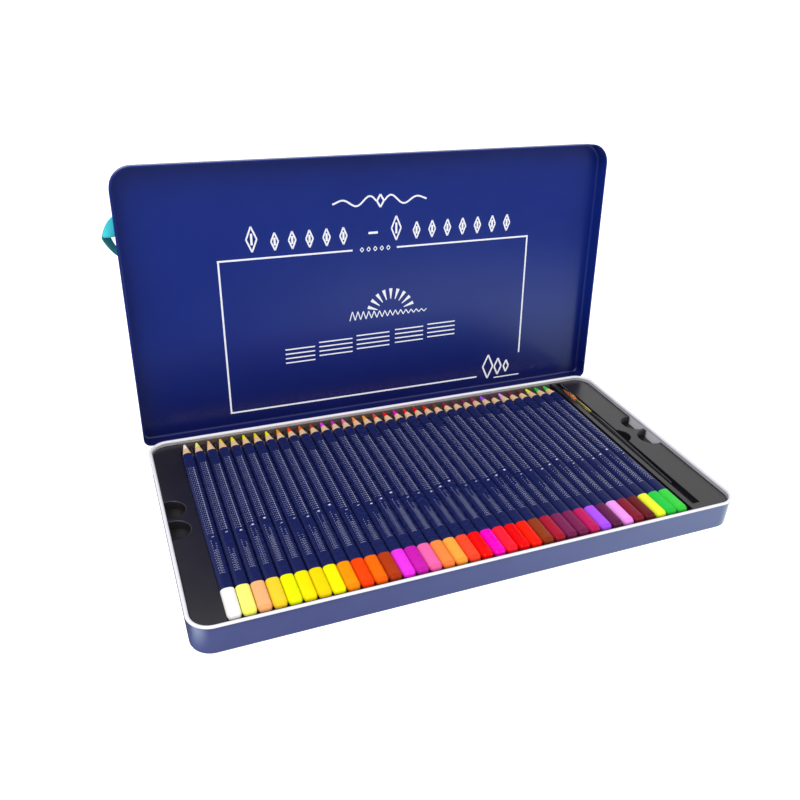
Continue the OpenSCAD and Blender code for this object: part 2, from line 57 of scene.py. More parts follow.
class Term:
    """A socket, or a number, that takes part in shader maths."""

    def __init__(self, finish, value):
        self.finish = finish
        self.value = value

    def _math(self, operation, *others):
        return self.finish.node("ShaderNodeMath", {"operation": operation}, [self, *others])

    def __add__(self, other):
        return self._math("ADD", other)

    def __radd__(self, other):
        return self._math("ADD", other)

    def __sub__(self, other):
        return self._math("SUBTRACT", other)

    def __rsub__(self, other):
        return Term(self.finish, other)._math("SUBTRACT", self)

    def __mul__(self, other):
        return self._math("MULTIPLY", other)

    def __rmul__(self, other):
        return self._math("MULTIPLY", other)

    def __truediv__(self, other):
        return self._math("DIVIDE", other)

    def __gt__(self, other):
        return self._math("GREATER_THAN", other)

    def __lt__(self, other):
        return self._math("LESS_THAN", other)

    def __pow__(self, other):
        return self._math("POWER", other)

    def __abs__(self):
        return self._math("ABSOLUTE")

    def clamped(self):
        return self.finish.node("ShaderNodeClamp", {}, [self])

    def at_least(self, other):
        return self._math("MAXIMUM", other)

    def at_most(self, other):
        return self._math("MINIMUM", other)

    def between(self, low, high):
        """0 below low, 1 above high, and straight between them."""
        return ((self - low) / (high - low)).clamped()


class Finish:
    """A material under construction: one Principled shader and the nodes that feed it."""

    def __init__(self, name, **sockets):
        self.material = bpy.data.materials.new(name)
        self.material.use_nodes = True
        self.tree = self.material.node_tree
        self.shader = self.tree.nodes["Principled BSDF"]
        for socket, value in sockets.items():
            self.shader.inputs[socket.replace("_", " ")].default_value = value

    def node(self, kind, settings, inputs, output=0):
        made = self.tree.nodes.new(kind)
        for name, value in settings.items():
            setattr(made, name, value)
        places = inputs.items() if isinstance(inputs, dict) else enumerate(inputs)
        for place, value in places:
            self.feed(value, made.inputs[place])
        return Term(self, made.outputs[output])

    def feed(self, value, socket):
        value = value.value if isinstance(value, Term) else value
        if isinstance(value, bpy.types.NodeSocket):
            self.tree.links.new(value, socket)
        else:
            socket.default_value = value

    def use(self, **sockets):
        for socket, value in sockets.items():
            self.feed(value, self.shader.inputs[socket.replace("_", " ")])

    def place(self):
        return self.node("ShaderNodeTexCoord", {}, [], "Object")

    def xyz(self, vector):
        split = self.node("ShaderNodeSeparateXYZ", {}, [vector]).value.node
        return [Term(self, split.outputs[n]) for n in range(3)]

    def stretched(self, vector, scale):
        return self.node(
            "ShaderNodeVectorMath", {"operation": "MULTIPLY"}, [vector, scale]
        )

    def noise(self, vector, scale, detail=3.0, output="Fac"):
        return self.node(
            "ShaderNodeTexNoise",
            {},
            {"Vector": vector, "Scale": scale, "Detail": detail},
            output,
        )

    def mix(self, share, first, second):
        return self.node(
            "ShaderNodeMix", {"data_type": "RGBA"}, {0: share, 6: first, 7: second}, 2
        )

    def mapped(self, value, low, high):
        return self.node("ShaderNodeMapRange", {}, [value, 0.0, 1.0, low, high])

    def attribute(self, name, output="Fac"):
        return self.node("ShaderNodeAttribute", {"attribute_name": name}, [], output)

    def bump(self, height, distance, strength=1.0):
        self.use(
            Normal=self.node(
                "ShaderNodeBump",
                {},
                {"Height": height, "Distance": distance, "Strength": strength},
                "Normal",
            )
        )


def rgb(red, green, blue):
    """A colour given as it looks on a screen, 0 to 255, as the shader's linear one."""

    def linear(value):
        share = value / 255
        return share / 12.92 if share <= 0.04045 else ((share + 0.055) / 1.055) ** 2.4

    return (linear(red), linear(green), linear(blue), 1.0)


def paint(name, finish):
    """Gives a node of the frame its finish."""
    for slot in nodes[name].material_slots:
        slot.material = finish.material


def outline_distance(finish, x, y, width, depth, corner):
    """Distance outside a rectangle with round corners, below 0 inside it."""
    over_x = abs(x) - (width / 2 - corner)
    over_y = abs(y) - (depth / 2 - corner)
    past_x = over_x.at_least(0.0)
    past_y = over_y.at_least(0.0)
    round_part = (past_x * past_x + past_y * past_y) ** 0.5
    return round_part + over_x.at_least(over_y).at_most(0.0) - corner


base_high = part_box("base_shell")[1]
sheet = 0.45 * MM
base_corner = 12.6 * MM
rim_proud = 0.9 * MM
white_reach = 0.9 * MM


def lacquered_base():
    finish = Finish("base_lacquer", Coat_Weight=0.3, Coat_Roughness=0.08)
    place = finish.place()
    x, y, z = finish.xyz(place)
    width = 2 * (base_high.x - rim_proud)
    depth = 2 * (base_high.y - rim_proud)
    off_wall = outline_distance(finish, x, y, width, depth, base_corner)
    outside = off_wall > -0.5 * sheet
    below_rim = z < base_high.z - white_reach
    underside = z < 0.5 * sheet
    blue = (outside * below_rim).at_least(underside)
    mottle = finish.noise(place, 60.0, 2.0)
    deep = finish.mix(mottle, rgb(78, 86, 140), rgb(86, 94, 148))
    pale = finish.mix(mottle, rgb(232, 231, 238), rgb(242, 241, 245))
    finish.use(Base_Color=finish.mix(blue, pale, deep))
    finish.use(Roughness=finish.mapped(finish.noise(place, 220.0), 0.16, 0.3))
    finish.bump(finish.noise(place, 900.0, 1.0), 0.00002, 0.25)
    return finish


paint("base_shell", lacquered_base())

# ---------------------------------------------------------------- lid
# A shallow pan drawn like the base, hemmed outwards and lacquered deep blue on both sides.
# The gloss is high, so the wall shows again in the flat face. Small dimples in the wall
# snap under the base's rim.

# Heights on the open lid between which the painted shade toward the hinge gives way to a
# lighter, painted-lit blue, and between which it gains gloss.
shade_fade_from, shade_fade_to = 12.0 * MM, 85.0 * MM
gloss_from, gloss_to = 18.0 * MM, 34.0 * MM


def lacquered_lid():
    finish = Finish("lid_lacquer", Specular_IOR_Level=0.42)
    place = finish.place()
    height = finish.xyz(place)[2]
    mottle = finish.noise(place, 25.0, 2.0)
    # Painted shade and light: a shaded and a lit copy of the lid's blue, with the shaded one
    # toward the hinge.
    dip_coat_and_lid_shade = finish.mix(mottle, rgb(5, 12, 76), rgb(9, 18, 84))
    lit_lacquer_blue = finish.mix(mottle, rgb(16, 38, 123), rgb(22, 45, 133))
    finish.use(Base_Color=finish.mix(height.between(shade_fade_from, shade_fade_to), dip_coat_and_lid_shade, lit_lacquer_blue))
    gloss = finish.mapped(finish.noise(place, 160.0), 0.2, 0.28)
    dull = 1.0 - height.between(gloss_from, gloss_to)
    finish.use(Roughness=gloss + 0.1 * dull)
    finish.bump(finish.noise(place, 45.0, 1.0), 0.0001, 0.06)
    return finish


paint("lid_shell", lacquered_lid())

# ---------------------------------------------------------------- print inside the lid
# White ink, screen printed on the lid's inner face: a frame line, and inside and above it
# plain ornaments and ruled lines, which carry no words.

lid_joint = next(joint for joint in frame["joints"] if joint["name"] == "lid_hinge")
lid_axis = Vector(lid_joint["pos_m"])
lid_open = math.radians(-lid_joint["range_deg"][0])
lid_back = 93.575 * MM
face_height = 24.85 * MM
ink = 0.04 * MM


def lid_face():
    """Turns points drawn on the inner face to their place on the open lid.

    X runs to the right from the middle, Y up the face from the hinge side, Z out of it."""
    shut = Matrix((
        (1.0, 0.0, 0.0, 0.0),
        (0.0, -1.0, 0.0, lid_back),
        (0.0, 0.0, -1.0, face_height),
        (0.0, 0.0, 0.0, 1.0),
    ))
    hinge = Matrix.Translation(lid_axis)
    return hinge @ Matrix.Rotation(-lid_open, 4, "X") @ hinge.inverted() @ shut


class Tree:
    """A Geometry Nodes tree under construction, with named inputs."""

    def __init__(self, name, **inputs):
        self.group = bpy.data.node_groups.new(name, "GeometryNodeTree")
        sockets = self.group.interface
        sockets.new_socket("Geometry", in_out="OUTPUT", socket_type="NodeSocketGeometry")
        self.sockets = {}
        for label, value in inputs.items():
            kind = "NodeSocketInt" if isinstance(value, int) else "NodeSocketFloat"
            made = sockets.new_socket(label, in_out="INPUT", socket_type=kind)
            made.default_value = value
            self.sockets[label] = made.identifier
        self.entry = self.group.nodes.new("NodeGroupInput")
        self.exit = self.group.nodes.new("NodeGroupOutput")

    def input(self, label):
        return self.entry.outputs[label]

    def node(self, kind, settings, inputs, output=0):
        made = self.group.nodes.new(kind)
        for name, value in settings.items():
            setattr(made, name, value)
        places = inputs.items() if isinstance(inputs, dict) else enumerate(inputs)
        for place, value in places:
            if isinstance(value, bpy.types.NodeSocket):
                self.group.links.new(value, made.inputs[place])
            elif value is not None:
                made.inputs[place].default_value = value
        return made.outputs[output]

    def math(self, operation, *values):
        return self.node("ShaderNodeMath", {"operation": operation}, values)

    def vector(self, x=0.0, y=0.0, z=0.0):
        return self.node("ShaderNodeCombineXYZ", {}, [x, y, z])

    def join(self, *pieces):
        made = self.group.nodes.new("GeometryNodeJoinGeometry")
        for piece in pieces:
            self.group.links.new(piece, made.inputs[0])
        return made.outputs[0]

    def turned(self, piece, turn):
        return self.node("GeometryNodeTransform", {}, {"Geometry": piece, "Rotation": turn})

    def bar(self, length, width, thickness):
        """A flat bar along X, centred."""
        size = self.vector(length, width, thickness)
        return self.node("GeometryNodeMeshCube", {}, {"Size": size})

    def row(self, piece, count, start, step):
        """Copies of a piece along a straight line."""
        line = self.node(
            "GeometryNodeMeshLine", {},
            {"Count": count, "Start Location": start, "Offset": step},
        )
        return self.node("GeometryNodeInstanceOnPoints", {}, {"Points": line, "Instance": piece})

    def finish_with(self, piece, material):
        real = self.node("GeometryNodeRealizeInstances", {}, [piece])
        out = self.node("GeometryNodeSetMaterial", {}, {"Geometry": real, "Material": material})
        self.group.links.new(out, self.exit.inputs[0])

    def build(self, name, **values):
        """Runs the tree with these inputs and returns the result as a plain mesh object."""
        holder = bpy.data.objects.new(name + "_tree", bpy.data.meshes.new(name + "_tree"))
        bpy.context.scene.collection.objects.link(holder)
        modifier = holder.modifiers.new("tree", "NODES")
        modifier.node_group = self.group
        for label, value in values.items():
            modifier[self.sockets[label]] = value
        depsgraph = bpy.context.evaluated_depsgraph_get()
        data = bpy.data.meshes.new_from_object(holder.evaluated_get(depsgraph))
        bpy.data.objects.remove(holder)
        made = bpy.data.objects.new(name, data)
        bpy.context.scene.collection.objects.link(made)
        return made


def ink_finish():
    # Painted light: the ink glows faintly by emission, though it gives no light of its own.
    finish = Finish("glowing_white_ink", Specular_IOR_Level=0.4, Emission_Strength=0.14)
    place = finish.place()
    cover = finish.noise(place, 500.0, 2.0)
    finish.use(Base_Color=finish.mix(cover, rgb(222, 226, 240), rgb(250, 251, 254)))
    finish.use(Roughness=finish.mapped(cover, 0.4, 0.6))
    return finish


glowing_white_ink = ink_finish()


def print_stroke(mesh, ends, widths):
    """A straight stroke of ink between two points, each end with its own width."""
    start, end = (Vector(point) for point in ends)
    across = (end - start).normalized().orthogonal()
    corners = [
        start - across * widths[0] / 2, end - across * widths[1] / 2,
        end + across * widths[1] / 2, start + across * widths[0] / 2,
    ]
    low = [mesh.verts.new((*point, 0.0)) for point in corners]
    high = [mesh.verts.new((*point, ink)) for point in corners]
    mesh.faces.new(low[::-1])
    mesh.faces.new(high)
    for n in range(4):
        m = (n + 1) % 4
        mesh.faces.new((low[n], low[m], high[m], high[n]))


def print_path(mesh, points, width, closed=False):
    """Strokes from point to point, in mm."""
    ends = points[1:] + points[:1] if closed else points[1:]
    for start, end in zip(points, ends):
        print_stroke(mesh, [(start[0] * MM, start[1] * MM), (end[0] * MM, end[1] * MM)],
                     (width * MM, width * MM))


def object_of(mesh, name, finish):
    """Turns a bmesh, which is used up, into an object with one finish."""
    data = bpy.data.meshes.new(name)
    mesh.to_mesh(data)
    mesh.free()
    data.materials.append(finish.material)
    made = bpy.data.objects.new(name, data)
    bpy.context.scene.collection.objects.link(made)
    return made


def print_object(name, mesh):
    bmesh.ops.recalc_face_normals(mesh, faces=mesh.faces)
    return object_of(mesh, name, glowing_white_ink)


def on_lid(made):
    made.data.transform(lid_face())
    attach(made, "lid")


def lozenge(x, y, half_width, half_height):
    return [
        (x - half_width, y), (x, y - half_height),
        (x + half_width, y), (x, y + half_height),
    ]


def printed_frame():
    """The frame line, open at the middle of its top and at its lower right corner.

    Its strokes fill the corners, and sit a little askew, as print on tinplate does."""
    mesh = bmesh.new()
    left = [(-115.0, 10.4), (-115.3, 121.9)]
    top_left = [(-116.0, 121.9), (-21.0, 121.6)]
    top_right = [(12.5, 121.3), (120.0, 120.8)]
    right = [(119.4, 120.8), (119.6, 25.8)]
    foot = [(-115.6, 10.4), (82.4, 9.4)]
    for stroke in (left, top_left, top_right, right, foot):
        print_path(mesh, stroke, 1.2)
    return print_object("printed_frame", mesh)


def print_lozenge_row(mesh, start, count):
    """A row over the frame, of lozenges with a bar inside them, the first of them tall."""
    row_foot, pitch = 126.5, 12.2
    for n in range(count):
        tall = 6.0 if n else 8.6
        x = start + n * pitch + (3.5 if n else 0.0)
        print_path(mesh, lozenge(x, row_foot + tall, 0.42 * tall, tall), 1.1, closed=True)
        print_path(mesh, [(x, row_foot + tall * 0.55), (x, row_foot + tall * 1.45)], 1.5)


def print_waves(mesh):
    """A lozenge high on the face, with a wave that dies away at each side of it."""
    height, swell, reach, steps = 155.0, 4.2, 32.0, 16
    for side in (-1, 1):
        wave = [
            (side * (3.0 + reach * k / steps),
             height + swell * math.sin(k * 0.62) * (1 - k / 22))
            for k in range(steps + 1)
        ]
        print_path(mesh, wave, 1.2)
    print_path(mesh, lozenge(0.0, height, 2.6, 4.4), 1.3, closed=True)


def print_fan(mesh):
    """A fan of petals that grow outwards, over a line that zigzags less and less."""
    middle, inner, outer, petals = Vector((8.0, 72.0)), 11.0, 19.0, 9
    for n in range(petals):
        swing = math.radians(20 + 17.5 * n)
        out = Vector((math.cos(swing), math.sin(swing)))
        ends = [(middle + radius * out) * MM for radius in (inner, outer)]
        print_stroke(mesh, ends, (0.5 * MM, 2.6 * MM))
    zigzag = [
        (-24.0 + 2.1 * k, 71.0 + (5.5 if k % 2 else -1.5) * (1 - k / 40))
        for k in range(30)
    ]
    print_path(mesh, zigzag, 0.7)


def printed_ornaments():
    """Lozenges over the frame, a fan inside it and three lozenges in its open corner."""
    mesh = bmesh.new()
    print_lozenge_row(mesh, -92.0, 6)
    print_lozenge_row(mesh, 12.0, 8)
    print_path(mesh, [(-9.0, 133.0), (-2.0, 133.0)], 1.6)
    for n in range(5):
        print_path(mesh, lozenge(-14.0 + 5.0 * n, 121.5, 1.3, 1.6), 0.6, closed=True)
    print_waves(mesh)
    print_fan(mesh)
    for x, tall in ((92.0, 10.0), (101.0, 7.0), (108.5, 5.0)):
        print_path(mesh, lozenge(x, 14.0 + tall * 0.3, 0.45 * tall, tall), 1.3, closed=True)
    print_path(mesh, [(98.0, 6.5), (121.0, 6.5)], 0.9)
    return print_object("printed_ornaments", mesh)


def rules_tree():
    """A block of short ruled lines."""
    tree = Tree("ruled_block", lines=4, length=0.024, pitch=0.0034, width=0.0009, depth=ink)
    bar = tree.bar(tree.input("length"), tree.input("width"), tree.input("depth"))
    step = tree.vector(y=tree.math("MULTIPLY", tree.input("pitch"), -1.0))
    tree.finish_with(tree.row(bar, tree.input("lines"), tree.vector(), step), glowing_white_ink.material)
    return tree


on_lid(printed_frame())
on_lid(printed_ornaments())
# Blocks of rules, as (across the face, up it, length of a rule), in mm.
rule_blocks = [
    (-62.0, 53.5, 22.0), (-35.0, 56.0, 25.5), (-6.0, 57.5, 26.0), (23.0, 58.5, 23.0),
    (49.5, 59.5, 23.0),
]
rules = rules_tree()
for number, (x, y, length) in enumerate(rule_blocks):
    block = rules.build(f"ruled_block_{number + 1}", length=length * MM)
    block.data.transform(Matrix.Translation((x * MM, y * MM, ink / 2)))
    on_lid(block)

# ---------------------------------------------------------------- hinges
# Two knuckle hinges of bright tinplate. Their leaves are curled round plain wire pins,
# and are fixed to the back walls of the base and the lid.


def bright_steel(name, low, high):
    finish = Finish(name, Metallic=1.0)
    place = finish.place()
    brushed = finish.noise(finish.stretched(place, (40.0, 1200.0, 1200.0)), 1.0, 2.0)
    finish.use(Base_Color=finish.mix(brushed, rgb(*low), rgb(*high)))
    finish.use(Roughness=finish.mapped(brushed, 0.22, 0.42))
    finish.bump(brushed, 0.00002, 0.4)
    return finish


tinplate = bright_steel("tinplate", (168, 170, 176), (206, 208, 212))
paint("base_hinge_leaves", tinplate)
paint("lid_hinge_leaves", tinplate)
paint("hinge_pins", bright_steel("pin_wire", (186, 187, 192), (222, 223, 226)))

# ---------------------------------------------------------------- trays
# Thin black plastic sheet formed over a mould: grooves that cradle the pencils, a flat deck
# at each side with finger notches, and in the upper tray a long groove for the brush.
# The sheet thins and rounds where it is drawn over the upper decks' edges.

deck_round = 0.4 * MM
# The wall behind the pencils' points catches more light, and is paler.
point_wall_y = (88.3 * MM, 88.9 * MM)
point_wall_x = (-156.0 * MM, 142.0 * MM)


def formed_plastic():
    finish = Finish("tray_sheet", Coat_Weight=0.25, Coat_Roughness=0.2)
    place = finish.place()
    x, y = finish.xyz(place)[:2]
    point_wall = y.between(*point_wall_y) * (x > point_wall_x[0]) * (x < point_wall_x[1])
    cloud = finish.noise(place, 35.0, 3.0)
    black = finish.mix(cloud, rgb(23, 20, 24), rgb(32, 29, 32))
    finish.use(Base_Color=finish.mix(point_wall, black, rgb(96, 84, 82)))
    finish.use(Roughness=finish.mapped(finish.noise(place, 140.0), 0.26, 0.36))
    finish.bump(finish.noise(place, 2600.0, 2.0), 0.00003, 0.3)
    return finish


tray_sheet = formed_plastic()
for name in ("upper_tray", "lower_tray", "lower_tray_left_deck", "lower_tray_right_deck"):
    paint(name, tray_sheet)


def rounded_deck(node, joined_at):
    """A deck whose upper edges are rounded, apart from where it runs on into the grooves."""
    mesh = bmesh.new()
    mesh.from_mesh(nodes[node].data)
    bmesh.ops.remove_doubles(mesh, verts=mesh.verts, dist=0.002 * MM)
    bmesh.ops.dissolve_limit(
        mesh, angle_limit=math.radians(1), verts=mesh.verts, edges=mesh.edges
    )
    top = max(vertex.co.z for vertex in mesh.verts)
    edges = [
        edge for edge in mesh.edges
        if all(vertex.co.z > top - 0.02 * MM for vertex in edge.verts)
        and not all(abs(vertex.co.x - joined_at) < 0.1 * MM for vertex in edge.verts)
        and edge.is_manifold and edge.calc_face_angle() > math.radians(50)
    ]
    bmesh.ops.bevel(
        mesh, geom=edges, offset=deck_round, segments=3, profile=0.5,
        affect="EDGES", clamp_overlap=True,
    )
    for face in mesh.faces:
        face.smooth = True
    for edge in mesh.edges:
        by_broad_face = any(face.calc_area() > 10 * MM * MM for face in edge.link_faces)
        edge.smooth = not by_broad_face and edge.calc_face_angle(0.0) < math.radians(40)
    made = object_of(mesh, node.replace("tray", "formed_tray"), tray_sheet)
    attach(made, "upper_tray")
    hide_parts(node)


rounded_deck("upper_tray_left_deck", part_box("upper_tray_left_deck")[1].x)
rounded_deck("upper_tray_right_deck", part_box("upper_tray_right_deck")[0].x)

# ---------------------------------------------------------------- pencils
# Pale wooden casings with three bulged sides, glued round a coloured lead and sharpened.
# The casing is navy lacquer, and its end is dipped in thick paint of the lead's colour.
# The cone cuts through the lacquer in a shallow scalloped line, further back at each edge.

pencil_length = 175.5 * MM
pencil_width = 7.8 * MM
edge_radius = 2.3 * MM
side_radius = 9.0 * MM
edge_to_axis = (pencil_width / 2 - edge_radius) / math.cos(math.pi / 6)
edge_to_side = side_radius - edge_radius
side_shift = (math.sqrt(4 * edge_to_side ** 2 - 3 * edge_to_axis ** 2) - edge_to_axis) / 2
face_to_axis = side_radius - side_shift
side_swing = math.degrees(
    math.atan2(edge_to_axis * math.cos(math.pi / 6), edge_to_axis / 2 + side_shift)
)
lead_radius = 1.95 * MM
point_radius = 0.75 * MM
cone_length = 15.2 * MM
cone_slope = (face_to_axis - point_radius) / cone_length
shoulder_slope = 1.4
shoulder_length = (edge_to_axis + edge_radius - face_to_axis) / shoulder_slope
dip_length = 21.5 * MM
dip_thickness = 0.07 * MM
dip_bulge = 0.25 * MM
# How the dipped end rounds off, as (distance along the pencil, inset), in mm.
end_round = [(0.0, 1.6), (0.35, 1.1), (0.8, 0.75), (1.5, 0.42), (2.3, 0.16), (3.0, 0.0)]

# Colours of the leads and the dipped ends, as they look on a screen.
paints = {
    "white": (250, 248, 247), "lemon_pale": (252, 252, 124), "peach": (249, 185, 126),
    "maize": (250, 216, 49), "lemon": (242, 250, 2), "yellow": (252, 237, 2),
    "gold": (248, 222, 2), "canary": (252, 248, 2), "amber": (252, 154, 2),
    "vermilion": (249, 72, 2), "orange": (250, 111, 2), "sienna": (183, 60, 16),
    "magenta": (246, 56, 239), "purple": (209, 29, 182), "pink": (248, 108, 178),
    "apricot": (252, 144, 69), "ochre": (252, 173, 66), "coral": (249, 77, 44),
    "red": (246, 10, 7), "fuchsia": (250, 2, 198), "crimson": (248, 32, 56),
    "scarlet": (241, 2, 8), "tomato": (250, 30, 4), "brown": (148, 60, 25),
    "ruby": (175, 25, 53), "plum": (126, 37, 86), "wine": (126, 34, 84),
    "cerise": (197, 28, 98), "violet": (179, 85, 250), "aubergine": (100, 32, 78),
    "orchid": (246, 158, 246), "garnet": (136, 30, 51), "maroon": (107, 31, 34),
    "citron": (243, 252, 55), "green": (42, 207, 72), "leaf_green": (65, 214, 73),
}
# The lower layer, in four families of nine.
lower_families = {
    "greens": [(20, 150, 60), (12, 120, 52), (90, 170, 40), (40, 100, 40), (20, 140, 110),
               (10, 90, 70), (120, 150, 40), (60, 80, 30), (0, 160, 140)],
    "blues": [(60, 190, 230), (20, 150, 220), (20, 110, 210), (20, 70, 180), (30, 40, 150),
              (20, 30, 110), (70, 60, 160), (0, 120, 150), (130, 190, 235)],
    "browns": [(230, 190, 140), (205, 150, 90), (180, 110, 50), (150, 90, 50), (130, 70, 40),
               (110, 60, 36), (90, 50, 34), (70, 44, 34), (160, 120, 80)],
    "greys": [(205, 206, 208), (180, 182, 185), (155, 157, 160), (130, 132, 136),
              (105, 107, 112), (80, 82, 88), (58, 60, 66), (40, 41, 46), (22, 22, 25)],
}


def pencil_outline():
    """Points round a pencil's section, as (angle, radius) from its axis, a side facing up."""
    points = []
    for turn in range(3):
        facing = -90 + 120 * turn
        centre = Matrix.Rotation(math.radians(facing), 2) @ Vector((edge_to_axis, 0.0))
        side_centre = Matrix.Rotation(math.radians(facing + 60), 2) @ Vector((-side_shift, 0.0))
        reach = 60 - side_swing
        for step in range(7):
            swing = math.radians(facing - reach + reach * step / 3)
            points.append(centre + edge_radius * Vector((math.cos(swing), math.sin(swing))))
        for step in range(1, 6):
            swing = math.radians(facing + 60 - side_swing + side_swing * step / 3)
            points.append(side_centre + side_radius * Vector((math.cos(swing), math.sin(swing))))
    return [(math.atan2(p.y, p.x), p.length) for p in points]


def cone_radius(left):
    """Radius of the sharpened end, left before the point. It ends in a short shoulder."""
    past = max(left - cone_length, 0.0)
    return point_radius + min(left, cone_length) * cone_slope + past * shoulder_slope


def pencil_stations():
    """Places along a pencil, from its dipped end, as (distance, inset, paint thickness)."""
    stations = [(along * MM, inset * MM, dip_thickness) for along, inset in end_round]
    stations += [(dip_length * n / 3, 0.0, dip_thickness) for n in (1, 2)]
    stations += [(dip_length - 0.05 * MM, 0.0, dip_thickness), (dip_length, 0.0, 0.0)]
    start = pencil_length - cone_length - shoulder_length
    stations += [(dip_length + (start - dip_length) * n / 4, 0.0, 0.0) for n in (1, 2, 3, 4)]
    stations += [(start + shoulder_length * n / 5, 0.0, 0.0) for n in range(1, 6)]
    stations += [(pencil_length - cone_length * n / 16, 0.0, 0.0) for n in range(15, -1, -1)]
    return stations


def add_pencil(mesh, layers, x, y, z, colour):
    """Adds one pencil to a bmesh. x, y and z are the middle of its dipped end."""
    outline = pencil_outline()
    rows = []
    for along, inset, dip_coat_and_lid_shade in pencil_stations():
        cone = cone_radius(pencil_length - along)
        row = []
        for angle, reach in outline:
            radius = min(reach - inset + dip_coat_and_lid_shade, cone)
            vertex = mesh.verts.new((x + radius * math.cos(angle), y + along,
                                     z + radius * math.sin(angle)))
            vertex[layers["cut"]] = (reach - cone) / MM
            vertex[layers["along"]] = along / MM
            vertex[layers["from_axis"]] = radius / MM
            vertex[layers["paint"]] = colour
            row.append(vertex)
        rows.append(row)
    count = len(outline)
    for low, high in zip(rows, rows[1:]):
        for n in range(count):
            m = (n + 1) % count
            mesh.faces.new((low[n], high[n], high[m], low[m]))
    for row, along, bulge in ((rows[0], 0.0, dip_bulge), (rows[-1], pencil_length, 0.0)):
        middle = mesh.verts.new((x, y + along - bulge, z))
        middle[layers["along"]] = along / MM
        middle[layers["paint"]] = colour
        middle[layers["cut"]] = 0.0 if bulge else 1.0
        for n in range(count):
            m = (n + 1) % count
            pair = (row[n], row[m]) if bulge else (row[m], row[n])
            mesh.faces.new((middle, *pair))


def times(finish, share, first, second):
    """The first colour multiplied by a share of the second."""
    return finish.node("ShaderNodeMixRGB", {"blend_type": "MULTIPLY"}, [share, first, second])


def pencil_finish():
    finish = Finish("pencil", Coat_Weight=0.03, Coat_Roughness=0.1, Specular_IOR_Level=0.08)
    place = finish.place()
    paint_colour = finish.attribute("paint", "Color")
    along = finish.attribute("along")
    cone = finish.attribute("cut") > 0.0
    lead = cone * (finish.attribute("from_axis") < lead_radius / MM)
    dipped = (along < dip_length / MM) * (1.0 - cone)
    grain = finish.noise(finish.stretched(place, (1500.0, 90.0, 1500.0)), 1.0, 4.0)
    speck = finish.noise(place, 900.0, 2.0)
    wood = finish.mix(grain, rgb(226, 178, 132), rgb(250, 218, 178))
    core = finish.mix(
        speck, times(finish, 0.1, paint_colour, (0.7, 0.7, 0.7, 1.0)), paint_colour
    )
    navy = finish.mix(speck, rgb(24, 31, 80), rgb(30, 37, 88))
    # Painted shade: the dipped end's colour darkens over its last 3 mm, where the end rounds
    # off.
    end_shade = finish.node("ShaderNodeMapRange", {}, [along, 2.4, 3.1, 0.3, 0.0])
    shaded_end = times(finish, end_shade, paint_colour, paint_colour)
    casing = finish.mix(dipped, navy, shaded_end)
    sharpened = finish.mix(cone, casing, wood)
    finish.use(Base_Color=finish.mix(lead, sharpened, core))
    dry = finish.mapped(grain, 0.55, 0.75)
    gloss = finish.mapped(finish.noise(place, 300.0), 0.2, 0.34)
    finish.use(Roughness=cone * dry + (1.0 - cone) * gloss)
    finish.bump(cone * grain + (1.0 - cone) * speck * 0.15, 0.00005, 0.5)
    return finish


pencil_paint = pencil_finish()


def pencils_mesh(name, places):
    """One object of all the pencils in places, each (x, y, z, colour).

    Its vertices keep how deep the cone cuts into the casing there, and how far along the
    pencil and from its axis they are, in mm."""
    mesh = bmesh.new()
    layers = {n: mesh.verts.layers.float.new(n) for n in ("cut", "along", "from_axis")}
    layers["paint"] = mesh.verts.layers.float_color.new("paint")
    for x, y, z, colour in places:
        add_pencil(mesh, layers, x, y, z, colour)
    bmesh.ops.recalc_face_normals(mesh, faces=mesh.faces)
    for face in mesh.faces:
        face.smooth = True
    made = object_of(mesh, name, pencil_paint)
    made.data.set_sharp_from_angle(angle=math.radians(38))
    return made


pencil_names = [n for n in sorted(nodes) if n.startswith("pencil_")]
pencil_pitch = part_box(pencil_names[1])[0].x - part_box(pencil_names[0])[0].x


def pencil_places(node, colours):
    """The middles of the dipped ends of a node's pencils, each (x, y, z, colour)."""
    low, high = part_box(node)
    first = low.x + pencil_width / 2
    axis_z = high.z - face_to_axis
    return [
        (first + n * pencil_pitch, low.y, axis_z, rgb(*colour))
        for n, colour in enumerate(colours)
    ]


upper_places = {}
for name in pencil_names:
    tint = name.split("_", 2)[2]
    places = pencil_places(name, [paints[tint]])
    made = pencils_mesh(name.replace("pencil", "colored_pencil"), places)
    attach(made, name)
    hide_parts(name)
    "pencil_" + tint
    upper_places[name] = places[0]
for family, colours in lower_families.items():
    node = "lower_pencils_" + family
    places = pencil_places(node, colours)
    made = pencils_mesh(node.replace("pencil", "colored_pencil"), places)
    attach(made, "lower_tray")
    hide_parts(node)

# ---------------------------------------------------------------- foil print on the pencils
# Silver foil stamped on the upper side of the casings. Towards the point four rows of dots
# run along it, one of them bold. Nearer the dipped end are three rows of thin slanted
# strokes, and a small bright mark stands between the two.

# Rows of dots, as (place across the side in row gaps, share of the dots' full width).
dot_rows = [(-2.2, 0.3), (-1.15, 0.3), (-0.1, 0.36), (1.15, 1.3)]
dot_slant = -14
# Rows of strokes, as (place across the side, shares of their length and pitch, slant).
stroke_rows = [(-1.4, 0.7, 1.31, 55), (-0.1, 1.0, 0.9, 25), (1.1, 0.7, 1.17, -30)]
mark_across, mark_slant = 0.4, 20
mark_width = 1.6 * MM
mark_before_dots = 3.5 * MM


def foil_finish():
    finish = Finish("silver_foil", Metallic=0.2)
    place = finish.place()
    worn = finish.noise(place, 700.0, 2.0)
    finish.use(Base_Color=finish.mix(worn, rgb(196, 202, 226), rgb(246, 248, 254)))
    finish.use(Roughness=finish.mapped(worn, 0.3, 0.5))
    return finish


silver_foil = foil_finish()


